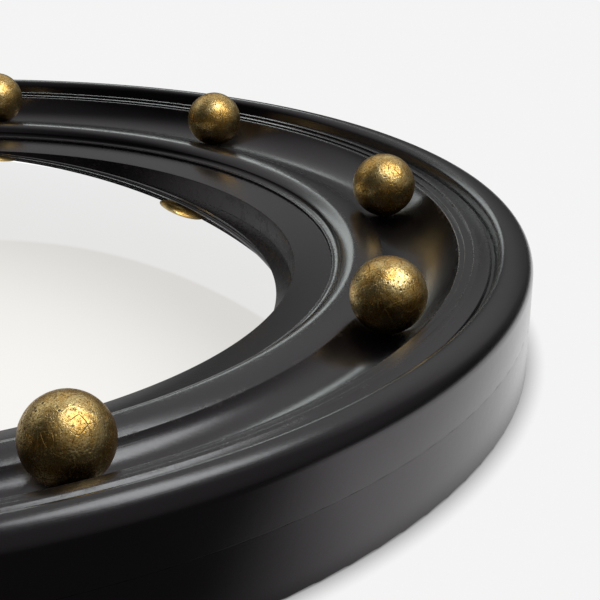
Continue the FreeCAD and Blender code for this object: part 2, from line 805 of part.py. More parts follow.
def make_hanger_ring(side):
    """A bent wire ring whose straight bar turns in the loop of its strap."""
    label = "hanger_ring_" + side
    body = new_body(label)
    spine = new_sketch(body, label + "_wire", "XY_Plane")
    half = s["ring_half_width"]
    corner = s["ring_corner_radius"]
    crown = s["ring_height"] - half
    draw_outline(
        spine,
        (ZERO, -(half - corner)),
        (ZERO, half - corner),
        (corner, half, corner, 1),
        (crown, half),
        (crown + half, ZERO, half, 1),
        (crown, -half, half, 1),
        (corner, -half),
        (ZERO, -(half - corner), corner, 1),
    )
    section = new_sketch(body, label + "_section")
    draw_circle(section, ZERO, ZERO, s["wire_radius"])
    doc.recompute()
    feature = body.newObject("PartDesign::AdditivePipe", label + "_bent")
    feature.Profile = section
    edges = ["Edge%d" % number for number in range(1, len(spine.Shape.Edges) + 1)]
    feature.Spine = (spine, edges)
    doc.recompute()
    across, deep = hanger_point(side, ZERO)
    place(body, across, deep, loop_z, hanger_turn(side))
    return body


def make_hanger_screws():
    """The screws of both hangers."""
    bearing = strap_under_z
    master = wood_screw(
        "hanger_screw",
        s["hanger_screw_radius"],
        s["hanger_screw_head_radius"],
        s["hanger_screw_head_height"],
        recess_z - bearing + s["hanger_screw_grip_length"],
    )
    return copies("hanger_screws", master, hanger_screw_places(), bearing)


# ---------------------------------------------------------------- the whole mirror

pieces = [
    make_rear_ring(),
    make_front_moulding(),
    make_sight_slip(),
    make_convex_glass(),
    make_packing_ring(),
    make_back_board(),
]
pieces += [make_ball(number) for number in BALLS]
pieces.append(make_ball_screws())
pieces.append(make_frame_screws())
pieces += [make_turn_button(number) for number in BUTTONS]
pieces.append(make_button_screws())
pieces += [make_hanger_strap(side) for side in SIDES]
pieces += [make_hanger_ring(side) for side in SIDES]
pieces.append(make_hanger_screws())
doc.recompute()

for thing in doc.Objects:
    if "Invalid" in thing.State or "Error" in thing.State:
        raise ValueError("%s failed: %s" % (thing.Label, thing.State))

os.makedirs("parts", exist_ok=True)
for piece in pieces:
    if piece.Shape.isNull() or not piece.Shape.isValid():
        raise ValueError("%s has no valid shape" % piece.Label)
    piece.Shape.exportStep("parts/%s.step" % piece.Label)
    print("%s: %d solid(s), %.1f cm3" % (
        piece.Label, len(piece.Shape.Solids), piece.Shape.Volume / 1000.0))
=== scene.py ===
"""Looks of a convex butlers mirror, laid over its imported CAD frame.

The mirror lies on its back: +Z is the way the glass looks and +Y is up when it hangs.
"""

import logging
import math
from dataclasses import dataclass
from enum import Enum
from typing import Sequence

import bmesh
import bpy
from mathutils import Matrix, Vector


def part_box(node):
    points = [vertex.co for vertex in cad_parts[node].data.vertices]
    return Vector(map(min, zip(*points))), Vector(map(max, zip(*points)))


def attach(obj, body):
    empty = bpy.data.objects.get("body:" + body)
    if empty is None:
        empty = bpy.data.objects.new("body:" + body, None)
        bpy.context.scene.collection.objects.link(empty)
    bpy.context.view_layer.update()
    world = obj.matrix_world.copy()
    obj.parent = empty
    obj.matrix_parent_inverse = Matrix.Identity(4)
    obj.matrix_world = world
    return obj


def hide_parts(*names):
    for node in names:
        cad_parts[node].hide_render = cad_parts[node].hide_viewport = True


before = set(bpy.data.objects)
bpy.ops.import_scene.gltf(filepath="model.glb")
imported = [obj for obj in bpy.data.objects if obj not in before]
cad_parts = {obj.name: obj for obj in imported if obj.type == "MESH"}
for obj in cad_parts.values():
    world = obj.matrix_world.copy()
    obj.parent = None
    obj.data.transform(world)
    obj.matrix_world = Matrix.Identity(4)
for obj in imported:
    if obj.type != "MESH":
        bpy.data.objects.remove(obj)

log = logging.getLogger("mirror")

Colour = tuple[float, float, float]
Place = tuple[float, float]
Way = tuple[float, float, float]
BODY = "frame"
ARC_STEP = 3.0  # degrees of arc to one straight of a section
SHARP_ANGLE = 32.0  # degrees from which an edge is left sharp
WELD = 0.000001  # metres within which the lathe closes seams and poles
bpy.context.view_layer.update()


class Slot(Enum):
    """Material slots of the record."""

    LACQUER = "black_lacquer"
    LEAF = "gold_leaf"
    GLASS = "silvered_glass"
    ZINC = "zinc_steel"
    NICKEL = "nickel_steel"
    BRASS = "brass"


def place(name: str, data: bpy.types.ID) -> bpy.types.Object:
    """Set an object into the scene, at the origin.

    Args:
        name: its name.
        data: its mesh, lamp or camera.

    Returns:
        The object.
    """
    item = bpy.data.objects.new(name, data)
    bpy.context.scene.collection.objects.link(item)
    return item


# ------------------------------------------------------------------ node trees


class NodeBook:
    """Short calls for building a shader tree."""

    def __init__(self, tree: bpy.types.NodeTree) -> None:
        """Start on an empty tree.

        Args:
            tree: the node tree to fill.
        """
        self.tree = tree
        tree.nodes.clear()

    def add(self, kind: str, **settings: object) -> bpy.types.Node:
        """Add a node.

        Args:
            kind: its Blender type name.
            **settings: attributes to set on it.

        Returns:
            The new node.
        """
        node = self.tree.nodes.new(kind)
        for name, value in settings.items():
            setattr(node, name, value)
        return node

    def put(self, value: object, socket: bpy.types.NodeSocket) -> None:
        """Set a socket to a constant or link it.

        Args:
            value: a number, a colour or an output socket.
            socket: the input that takes it.
        """
        if isinstance(value, bpy.types.NodeSocket):
            self.tree.links.new(value, socket)
        elif isinstance(value, tuple) and len(value) == 3 and socket.type == "RGBA":
            socket.default_value = (*value, 1.0)
        else:
            socket.default_value = value

    def math(self, operation: str, *values: object, clamp: bool = False) -> bpy.types.NodeSocket:
        """Add a math node.

        Args:
            operation: its operation.
            *values: numbers or sockets.
            clamp: keep the result between 0 and 1.

        Returns:
            The result.
        """
        node = self.add("ShaderNodeMath", operation=operation, use_clamp=clamp)
        for index, value in enumerate(values):
            self.put(value, node.inputs[index])
        return node.outputs[0]

    def remap(self, value: object, low: float, high: float,
              to_low: float = 0.0, to_high: float = 1.0) -> bpy.types.NodeSocket:
        """Map a range smoothly onto another and hold it at its ends.

        Args:
            value: the socket to map.
            low: start of the range.
            high: end of the range.
            to_low: result at the start.
            to_high: result at the end.

        Returns:
            The mapped value.
        """
        node = self.add("ShaderNodeMapRange", interpolation_type="SMOOTHSTEP")
        for index, number in enumerate((value, low, high, to_low, to_high)):
            self.put(number, node.inputs[index])
        return node.outputs[0]

    def mix(self, share: object, first: object, second: object) -> bpy.types.NodeSocket:
        """Mix two colours.

        Args:
            share: how much of the second.
            first: colour or socket.
            second: colour or socket.

        Returns:
            The mixed colour.
        """
        node = self.add("ShaderNodeMix", data_type="RGBA", blend_type="MIX")
        self.put(share, node.inputs[0])
        self.put(first, node.inputs[6])
        self.put(second, node.inputs[7])
        return node.outputs[2]

    def noise(self, where: bpy.types.NodeSocket, scale: float, detail: float = 3.0,
              roughness: float = 0.5, distortion: float = 0.0) -> bpy.types.NodeSocket:
        """Add a noise texture.

        Args:
            where: coordinates in metres.
            scale: features per metre.
            detail: octaves.
            roughness: share of the finer octaves.
            distortion: how far it is stirred.

        Returns:
            The noise, from 0 to 1.
        """
        node = self.add("ShaderNodeTexNoise")
        self.put(where, node.inputs["Vector"])
        for name, number in (("Scale", scale), ("Detail", detail),
                             ("Roughness", roughness), ("Distortion", distortion)):
            self.put(number, node.inputs[name])
        return node.outputs[0]

    def cells(self, where: bpy.types.NodeSocket, scale: float,
              feature: str = "F1") -> bpy.types.NodeSocket:
        """Add a cell texture.

        Args:
            where: coordinates in metres.
            scale: cells per metre.
            feature: F1, F2 or DISTANCE_TO_EDGE.

        Returns:
            The distance.
        """
        node = self.add("ShaderNodeTexVoronoi", feature=feature)
        self.put(where, node.inputs["Vector"])
        self.put(scale, node.inputs["Scale"])
        return node.outputs["Distance"]

    def stretch(self, where: bpy.types.NodeSocket, by: Sequence[float]) -> bpy.types.NodeSocket:
        """Scale coordinates.

        Args:
            where: the coordinates.
            by: scale along each axis.

        Returns:
            The new coordinates.
        """
        node = self.add("ShaderNodeMapping")
        self.put(where, node.inputs["Vector"])
        node.inputs["Scale"].default_value = tuple(by)
        return node.outputs[0]

    def bump(self, height: bpy.types.NodeSocket, depth: float, strength: float = 1.0,
             under: bpy.types.NodeSocket | None = None) -> bpy.types.NodeSocket:
        """Add a bump.

        Args:
            height: its height map, from 0 to 1.
            depth: height in metres that 1 stands for.
            strength: its share.
            under: a normal to build on.

        Returns:
            The bumped normal.
        """
        node = self.add("ShaderNodeBump")
        node.inputs["Strength"].default_value = strength
        node.inputs["Distance"].default_value = depth
        self.put(height, node.inputs["Height"])
        if under is not None:
            self.put(under, node.inputs["Normal"])
        return node.outputs[0]


class SurfaceBook(NodeBook):
    """A material's tree with one principled shader."""

    def __init__(self, name: str) -> None:
        """Make the material.

        Args:
            name: its name.
        """
        self.material = bpy.data.materials.new(name)
        self.material.use_nodes = True
        super().__init__(self.material.node_tree)
        out = self.add("ShaderNodeOutputMaterial")
        self.shader = self.add("ShaderNodeBsdfPrincipled")
        self.tree.links.new(self.shader.outputs[0], out.inputs[0])
        self.here = self.add("ShaderNodeTexCoord").outputs["Object"]

    def dress(self, **values: object) -> None:
        """Set the shader's sockets; an underscore in a name stands for a blank."""
        for name, value in values.items():
            self.put(value, self.shader.inputs[name.replace("_", " ")])

    def rings(self) -> tuple[bpy.types.NodeSocket, ...]:
        """Coordinates for turned work.

        Returns:
            Radius about the axis, and a vector of (radius, turn, height).
        """
        split = self.add("ShaderNodeSeparateXYZ")
        self.put(self.here, split.inputs[0])
        across, deep, height = split.outputs
        radius = self.math("SQRT", self.math("ADD", self.math("MULTIPLY", across, across),
                                             self.math("MULTIPLY", deep, deep)))
        turn = self.math("ARCTAN2", deep, across)
        join = self.add("ShaderNodeCombineXYZ")
        for socket, value in zip(join.inputs, (radius, turn, height)):
            self.put(value, socket)
        return radius, join.outputs[0]


# ------------------------------------------------------------------ finishes


@dataclass(frozen=True)
class Lacquer:
    """Black satin-gloss lacquer over turned wood, rubbed through a little at its arrises."""

    name: str
    black: Colour = (0.0066, 0.0055, 0.0067)
    rubbed: Colour = (0.020, 0.013, 0.009)
    sheen: Colour = (0.98, 0.90, 0.96)
    roughness: float = 0.20
    spread: float = 0.06
    orange_peel: float = 0.00002
    turning: float = 0.000012
    arrises: tuple[float, ...] = ()
    wear: tuple[float, float] = (0.0002, 0.0016)
    ior: float = 1.48

    def make(self) -> bpy.types.Material:
        """Build the material.

        Returns:
            The finish.
        """
        book = SurfaceBook(self.name)
        radius, ring = book.rings()
        cloud = book.noise(book.here, 22.0, 4.0)
        fine = book.noise(book.here, 900.0, 2.0)
        peel = book.noise(book.here, 420.0, 3.0, 0.55)
        lathe = book.noise(book.stretch(ring, (1.0, 0.004, 1.0)), 2600.0, 2.0)
        rub = book.noise(book.stretch(ring, (1.0, 0.12, 1.0)), 260.0, 5.0, 0.7)
        worn = book.remap(rub, 0.46, 0.7)
        edge: object = 0.0
        for place in self.arrises:
            near = book.math("ABSOLUTE", book.math("SUBTRACT", radius, place))
            edge = book.math("MAXIMUM", edge, book.remap(near, *self.wear, 1.0, 0.0))
        mask = book.math("MULTIPLY", edge, worn)
        base = book.mix(book.remap(cloud, 0.3, 0.75), self.black,
                        tuple(1.5 * part for part in self.black))
        colour = book.mix(mask, base, self.rubbed)
        gloss = book.math("ADD", self.roughness,
                          book.math("MULTIPLY", book.math("SUBTRACT", cloud, 0.5), self.spread))
        gloss = book.math("ADD", gloss, book.math("MULTIPLY", fine, 0.04))
        gloss = book.math("ADD", gloss, book.math("MULTIPLY", mask, 0.16), clamp=True)
        normal = book.bump(lathe, self.turning)
        normal = book.bump(peel, self.orange_peel, under=normal)
        book.dress(Base_Color=colour, Roughness=gloss, Normal=normal, IOR=self.ior,
                   Specular_Tint=self.sheen)
        return book.material


@dataclass(frozen=True)
class GoldLeaf:
    """Worn antique gold leaf laid over dark bole."""

    name: str = "gold_leaf_over_bole"
    gold: Colour = (0.76, 0.46, 0.12)
    pale: Colour = (0.98, 0.76, 0.34)
    brown: Colour = (0.24, 0.110, 0.022)
    bole: Colour = (0.018, 0.010, 0.005)
    roughness: tuple[float, float] = (0.20, 0.40)
    crumple: float = 0.0006
    skin: float = 0.00010

    def make(self) -> bpy.types.Material:
        """Build the material.

        Returns:
            The finish.
        """
        book = SurfaceBook(self.name)
        stir = book.noise(book.here, 140.0, 4.0, 0.6, 0.6)
        scratch = book.noise(book.stretch(book.here, (1.0, 1.0, 0.16)), 1500.0, 3.0, 0.6)
        speck = book.cells(book.here, 620.0)
        grain = book.noise(book.here, 1900.0, 3.0, 0.65)
        crack = book.cells(book.stretch(book.here, (1.0, 1.0, 0.7)), 260.0, "DISTANCE_TO_EDGE")
        patch = book.remap(stir, 0.36, 0.66)
        pits = book.math("MULTIPLY", book.remap(speck, 0.10, 0.34, 1.0, 0.0),
                         book.remap(stir, 0.42, 0.62))
        lines = book.math("MULTIPLY", book.remap(crack, 0.0, 0.035, 1.0, 0.0),
                          book.remap(stir, 0.34, 0.60, 1.0, 0.0))
        rub = book.remap(scratch, 0.56, 0.70)
        worn = book.math("MAXIMUM", book.math("MAXIMUM", pits, lines),
                         book.math("MULTIPLY", rub, 0.7), clamp=True)
        tone = book.mix(patch, self.gold, self.pale)
        tone = book.mix(book.remap(grain, 0.42, 0.72, 0.0, 0.75), tone, self.brown)
        colour = book.mix(worn, tone, self.bole)
        metal = book.remap(worn, 0.2, 0.9, 1.0, 0.15)
        gloss = book.math("ADD", book.remap(grain, 0.3, 0.75, *self.roughness),
                          book.math("MULTIPLY", worn, 0.2), clamp=True)
        height = book.math("SUBTRACT", grain, book.math("MULTIPLY", worn, 0.9))
        normal = book.bump(stir, self.crumple, 0.5)
        normal = book.bump(height, self.skin, 0.8, normal)
        book.dress(Base_Color=colour, Metallic=metal, Roughness=gloss, Normal=normal)
        return book.material


@dataclass(frozen=True)
class Silvering:
    """Silvered glass: a clean mirror with the faintest warmth and a slight waviness."""

    name: str = "silvered_convex_glass"
    silver: Colour = (0.915, 0.915, 0.912)
    foxed: Colour = (0.86, 0.85, 0.83)
    foxed_rim: tuple[float, float] = (0.1535, 0.158)

    def make(self) -> bpy.types.Material:
        """Build the material.

        Returns:
            The finish.
        """
        book = SurfaceBook(self.name)
        radius, ring = book.rings()
        rim = book.remap(radius, *self.foxed_rim)
        spots = book.remap(book.noise(ring, 300.0, 4.0, 0.7), 0.55, 0.72)
        haze = book.remap(book.noise(book.here, 9.0, 3.0), 0.35, 0.75, 0.0, 0.35)
        share = book.math("MAXIMUM", haze, book.math("MULTIPLY", rim, spots))
        wave = book.noise(book.here, 7.0, 1.0)
        book.dress(Base_Color=book.mix(share, self.silver, self.foxed), Metallic=1.0,
                   Roughness=0.0, Normal=book.bump(wave, 0.0001, 0.35))
        return book.material


@dataclass(frozen=True)
class Felt:
    """Grey wool felt."""

    name: str = "grey_felt"
    dark: Colour = (0.055, 0.055, 0.058)
    light: Colour = (0.16, 0.158, 0.15)

    def make(self) -> bpy.types.Material:
        """Build the material.

        Returns:
            The finish.
        """
        book = SurfaceBook(self.name)
        fibre = book.noise(book.stretch(book.here, (1.0, 1.0, 0.4)), 1400.0, 6.0, 0.75, 1.4)
        colour = book.mix(book.remap(fibre, 0.3, 0.7), self.dark, self.light)
        book.dress(Base_Color=colour, Roughness=0.95, Sheen_Weight=0.35,
                   Normal=book.bump(fibre, 0.0004, 0.8))
        return book.material


@dataclass(frozen=True)
class PressedBoard:
    """Brown hardboard with pressed fibres."""

    name: str = "brown_hardboard"
    dark: Colour = (0.105, 0.056, 0.028)
    light: Colour = (0.26, 0.155, 0.082)

    def make(self) -> bpy.types.Material:
        """Build the material.

        Returns:
            The finish.
        """
        book = SurfaceBook(self.name)
        fibre = book.noise(book.stretch(book.here, (1.0, 0.25, 1.0)), 900.0, 6.0, 0.7, 1.8)
        cross = book.noise(book.stretch(book.here, (0.3, 1.0, 1.0)), 760.0, 5.0, 0.7, 1.8)
        cloud = book.noise(book.here, 16.0, 3.0)
        lay = book.math("MULTIPLY", book.math("ADD", fibre, cross), 0.5)
        colour = book.mix(book.remap(lay, 0.38, 0.62), self.dark, self.light)
        colour = book.mix(book.remap(cloud, 0.3, 0.7, 0.0, 0.4), colour, self.dark)
        book.dress(Base_Color=colour, Roughness=book.remap(lay, 0.3, 0.7, 0.62, 0.82),
                   Normal=book.bump(lay, 0.00012, 0.7))
        return book.material


@dataclass(frozen=True)
class Metal:
    """Plated or stamped metal with fine scratches and a little tarnish."""

    name: str
    bright: Colour
    dull: Colour
    roughness: float = 0.3
    scratches: float = 0.00002

    def make(self) -> bpy.types.Material:
        """Build the material.

        Returns:
            The finish.
        """
        book = SurfaceBook(self.name)
        cloud = book.noise(book.here, 260.0, 5.0, 0.65)
        line = book.noise(book.stretch(book.here, (1.0, 0.06, 1.0)), 4200.0, 2.0)
        colour = book.mix(book.remap(cloud, 0.42, 0.72), self.bright, self.dull)
        gloss = book.math("ADD", self.roughness, book.math("MULTIPLY", cloud, 0.16), clamp=True)
        book.dress(Base_Color=colour, Metallic=1.0, Roughness=gloss,
                   Normal=book.bump(line, self.scratches, 0.7))
        return book.material


# ------------------------------------------------------------------ geometry trees


class MakerTree:
    """A geometry node tree with named inputs that makes one kind of piece."""

    def __init__(self, name: str) -> None:
        """Start the tree.

        Args:
            name: its name.
        """
        self.tree = bpy.data.node_groups.new(name, "GeometryNodeTree")
        self.tree.interface.new_socket(name="Geometry", in_out="INPUT",
                                       socket_type="NodeSocketGeometry")
        self.tree.interface.new_socket(name="Geometry", in_out="OUTPUT",
                                       socket_type="NodeSocketGeometry")
        self.given = self.tree.nodes.new("NodeGroupInput")
        self.result = self.tree.nodes.new("NodeGroupOutput")

    def ask(self, name: str, kind: str) -> None:
        """Add a named input.

        Args:
            name: its name.
            kind: Float, Int, Vector, Object or Material.
        """
        self.tree.interface.new_socket(name=name, in_out="INPUT",
                                       socket_type="NodeSocket" + kind)

    def add(self, kind: str, links: dict[str | int, object] | None = None,
            **settings: object) -> bpy.types.Node:
        """Add a node.

        Args:
            kind: its Blender type name.
            links: what goes into its inputs, by name or place.
            **settings: attributes to set on it.

        Returns:
            The new node.
        """
        node = self.tree.nodes.new(kind)
        for name, value in settings.items():
            setattr(node, name, value)
        for name, value in (links or {}).items():
            socket = node.inputs[name]
            if isinstance(value, bpy.types.NodeSocket):
                self.tree.links.new(value, socket)
            else:
                socket.default_value = value
        return node

    def finish(self, geometry: bpy.types.NodeSocket) -> None:
        """End the tree in Realize Instances and Set Material.

        Args:
            geometry: what the tree has made.
        """
        real = self.add("GeometryNodeRealizeInstances", {"Geometry": geometry})
        dressed = self.add("GeometryNodeSetMaterial", {
            "Geometry": real.outputs[0], "Material": self.given.outputs["Material"]})
        self.tree.links.new(dressed.outputs[0], self.result.inputs[0])

    def run(self, name: str, start: bpy.types.Mesh, values: dict[str, object]) -> bpy.types.Object:
        """Make a piece with the tree and turn it into a plain mesh.

        Args:
            name: name of the piece.
            start: the mesh that the tree starts from.
            values: its inputs, by name.

        Returns:
            The finished object, at the origin and without modifiers.
        """
        seed = place(name + "_start", start)
        modifier = seed.modifiers.new("maker", "NODES")
        modifier.node_group = self.tree
        for item in self.tree.interface.items_tree:
            if item.in_out == "INPUT" and item.name in values:
                modifier[item.identifier] = values[item.name]
        bpy.context.view_layer.update()
        graph = bpy.context.evaluated_depsgraph_get()
        mesh = bpy.data.meshes.new_from_object(seed.evaluated_get(graph))
        mesh.name = name
        seed.modifiers.clear()
        bpy.data.objects.remove(seed)
        return place(name, mesh)


class Outline:
    """Closed half section of a turned piece, in millimetres, drawn run by run."""

    def __init__(self, across: float, up: float) -> None:
        """Start the section.

        Args:
            across: radius of its first point.
            up: height of its first point.
        """
        self.points: list[Place] = [(across, up)]
        self.corners: list[tuple[int, float]] = []

    def line(self, across: float, up: float, soft: float = 0.0) -> "Outline":
        """Go straight to a point.

        Args:
            across: its radius.
            up: its height.
            soft: how much of the corner there is rounded off.

        Returns:
            The outline.
        """
        self.points.append((across, up))
        if soft:
            self.corners.append((len(self.points) - 1, soft))
        return self

    def arc(self, across: float, up: float, radius: float, left: bool,
            soft: float = 0.0) -> "Outline":
        """Go to a point along an arc.

        Args:
            across: its radius.
            up: its height.
            radius: radius of the arc.
            left: whether it bulges left of the way.
            soft: how much of the corner there is rounded off.

        Returns:
            The outline.
        """
        start, end = Vector(self.points[-1]), Vector((across, up))
        chord = end - start
        side = Vector((-chord.y, chord.x)).normalized() * (1.0 if left else -1.0)
        rise = math.sqrt(max(radius ** 2 - (chord.length / 2) ** 2, 0.0))
        centre = (start + end) / 2 - side * rise
        first, last = start - centre, end - centre
        angle = first.angle_signed(last)
        steps = max(4, int(abs(math.degrees(angle)) / ARC_STEP))
        for step in range(1, steps + 1):
            spin = -angle * step / steps
            self.points.append((centre.x + first.x * math.cos(spin) - first.y * math.sin(spin),
                                centre.y + first.x * math.sin(spin) + first.y * math.cos(spin)))
        self.points[-1] = (across, up)
        if soft:
            self.corners.append((len(self.points) - 1, soft))
        return self

    def softened(self) -> list[Place]:
        """Round the marked corners.

        Returns:
            The points of the section.
        """
        points = [Vector(point) for point in self.points]
        count = len(points)
        done: dict[int, list[Vector]] = {}
        for index, reach in self.corners:
            ends = []
            for way in (-1, 1):
                left, at = reach, index
                while (points[(at + way) % count] - points[at % count]).length < left:
                    left -= (points[(at + way) % count] - points[at % count]).length
                    at += way
                    done.setdefault(at % count, [])
                near, far = points[at % count], points[(at + way) % count]
                ends.append(near + (far - near).normalized() * left)
            first, last = ends
            middle = points[index]
            done[index] = [first * (1 - s) ** 2 + middle * 2 * s * (1 - s) + last * s ** 2
                           for s in (0.0, 0.2, 0.4, 0.6, 0.8, 1.0)]
        result = []
        for index, point in enumerate(points):
            result += [tuple(item) for item in done.get(index, [point])]
        return result


def lathe_tree() -> MakerTree:
    """A half section swept round the axis, its seam and poles closed.

    Returns:
        The tree.
    """
    maker = MakerTree("turned_piece")
    for name, kind in (("Path radius", "Float"), ("Segments", "Int"), ("Material", "Material")):
        maker.ask(name, kind)
    given = maker.given.outputs
    section = maker.add("GeometryNodeMeshToCurve", {"Mesh": given["Geometry"]})
    path = maker.add("GeometryNodeCurvePrimitiveCircle",
                     {"Resolution": given["Segments"], "Radius": given["Path radius"]})
    swept = maker.add("GeometryNodeCurveToMesh",
                      {"Curve": path.outputs[0], "Profile Curve": section.outputs[0]})
    closed = maker.add("GeometryNodeMergeByDistance",
                       {"Geometry": swept.outputs[0], "Distance": WELD})
    smooth = maker.add("GeometryNodeSetShadeSmooth", {"Geometry": closed.outputs[0]})
    maker.finish(smooth.outputs[0])
    return maker


def turn_piece(maker: MakerTree, name: str, outline: Outline, material: bpy.types.Material,
               segments: int = 384, path_radius: float = 0.2) -> bpy.types.Object:
    """Turn a piece from its half section.

    Args:
        maker: the lathe tree.
        name: name of the piece.
        outline: its half section.
        material: its finish.
        segments: divisions round the axis.
        path_radius: radius of the sweep's path, in metres.

    Returns:
        The piece, its faces pointing outwards.
    """
    points = [(across / 1000 - path_radius, -up / 1000, 0.0) for across, up in outline.softened()]
    section = bpy.data.meshes.new(name + "_section")
    section.from_pydata(points, [(i, (i + 1) % len(points)) for i in range(len(points))], [])
    piece = maker.run(name, section, {"Path radius": path_radius, "Segments": segments,
                                      "Material": material})
    shape = bmesh.new()
    shape.from_mesh(piece.data)
    bmesh.ops.dissolve_degenerate(shape, dist=WELD / 2, edges=shape.edges)
    if shape.calc_volume(signed=True) < 0:
        bmesh.ops.reverse_faces(shape, faces=shape.faces)
    shape.to_mesh(piece.data)
    shape.free()
    piece.data.set_sharp_from_angle(angle=math.radians(SHARP_ANGLE))
    return piece


def ball_tree() -> MakerTree:
    """A ball laid with leaf: a fine sphere, dented and wrinkled inwards only.

    Returns:
        The tree.
    """
    maker = MakerTree("gilded_ball")
    for name, kind in (("Radius", "Float"), ("Dent depth", "Float"), ("Wrinkle depth", "Float"),
                       ("Centre", "Vector"), ("Seed", "Float"), ("Material", "Material")):
        maker.ask(name, kind)
    given = maker.given.outputs
    ball = maker.add("GeometryNodeMeshIcoSphere", {"Radius": given["Radius"], "Subdivisions": 7})
    where = maker.add("GeometryNodeInputPosition")
    dents = maker.add("ShaderNodeTexNoise", {"Vector": where.outputs[0], "W": given["Seed"],
                                             "Scale": 105.0, "Detail": 2.0}, noise_dimensions="4D")
    wrinkles = maker.add("ShaderNodeTexNoise", {"Vector": where.outputs[0], "W": given["Seed"],
                                                "Scale": 420.0, "Detail": 4.0, "Distortion": 0.8},
                         noise_dimensions="4D")
    deep = maker.add("ShaderNodeMath", {0: dents.outputs[0], 1: given["Dent depth"]},
                     operation="MULTIPLY")
    fine = maker.add("ShaderNodeMath", {0: wrinkles.outputs[0], 1: given["Wrinkle depth"]},
                     operation="MULTIPLY")
    total = maker.add("ShaderNodeMath", {0: deep.outputs[0], 1: fine.outputs[0]}, operation="ADD")
    inward = maker.add("ShaderNodeMath", {0: total.outputs[0], 1: -1.0}, operation="MULTIPLY")
    out = maker.add("GeometryNodeInputNormal")
    move = maker.add("ShaderNodeVectorMath", {0: out.outputs[0], "Scale": inward.outputs[0]},
                     operation="SCALE")
    dented = maker.add("GeometryNodeSetPosition",
                       {"Geometry": ball.outputs[0], "Offset": move.outputs[0]})
    placed = maker.add("GeometryNodeSetPosition",
                       {"Geometry": dented.outputs[0], "Offset": given["Centre"]})
    smooth = maker.add("GeometryNodeSetShadeSmooth", {"Geometry": placed.outputs[0]})
    maker.finish(smooth.outputs[0])
    return maker


def screw_tree() -> MakerTree:
    """One master screw at every point, each with its slot turned on a little.

    Returns:
        The tree.
    """
    maker = MakerTree("screws_at_points")
    for name, kind in (("Master", "Object"), ("Slot turn", "Float"), ("Material", "Material")):
        maker.ask(name, kind)
    given = maker.given.outputs
    master = maker.add("GeometryNodeObjectInfo", {"Object": given["Master"]})
    index = maker.add("GeometryNodeInputIndex")
    turn = maker.add("ShaderNodeMath", {0: index.outputs[0], 1: given["Slot turn"]},
                     operation="MULTIPLY")
    angles = maker.add("ShaderNodeCombineXYZ", {"Z": turn.outputs[0]})
    points = maker.add("GeometryNodeInstanceOnPoints",
                       {"Points": given["Geometry"], "Instance": master.outputs["Geometry"],
                        "Rotation": angles.outputs[0]})
    maker.finish(points.outputs[0])
    return maker


# ------------------------------------------------------------------ sub-assemblies


def dress_node(name: str, material: bpy.types.Material) -> None:
    """Give a CAD node its finish.

    Args:
        name: the node.
        material: its material.
    """
    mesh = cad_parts[name].data
    if not mesh.materials:
        mesh.materials.append(material)
    for index in range(len(mesh.materials)):
        mesh.materials[index] = material
    log.info("%s: CAD node in %s", name, material.name)


def seat(piece: bpy.types.Object, node: str) -> None:
    """Put a finished piece on the frame's body in place of its CAD node.

    Args:
        piece: the piece.
        node: the node that it replaces.
    """
    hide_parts(node)
    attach(piece, BODY)
    log.info("%s: %d faces", piece.name, len(piece.data.polygons))


def islands(name: str, reach: float = 0.008) -> list[tuple[Place, float, float]]:
    """Find the separate solids of a CAD node that stand apart in plan.

    Args:
        name: the node.
        reach: how far a solid's points may lie from its first one.

    Returns:
        Each solid's middle in plan, its lowest and its highest point.
    """
    groups: list[list[Vector]] = []
    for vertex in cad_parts[name].data.vertices:
        for group in groups:
            if (group[0].xy - vertex.co.xy).length < reach:
                group.append(vertex.co)
                break
        else:
            groups.append([vertex.co])
    found = []
    for group in groups:
        xs, ys, zs = ([point[axis] for point in group] for axis in range(3))
        middle = ((min(xs) + max(xs)) / 2, (min(ys) + max(ys)) / 2)
        found.append((middle, min(zs), max(zs)))
    return sorted(found)


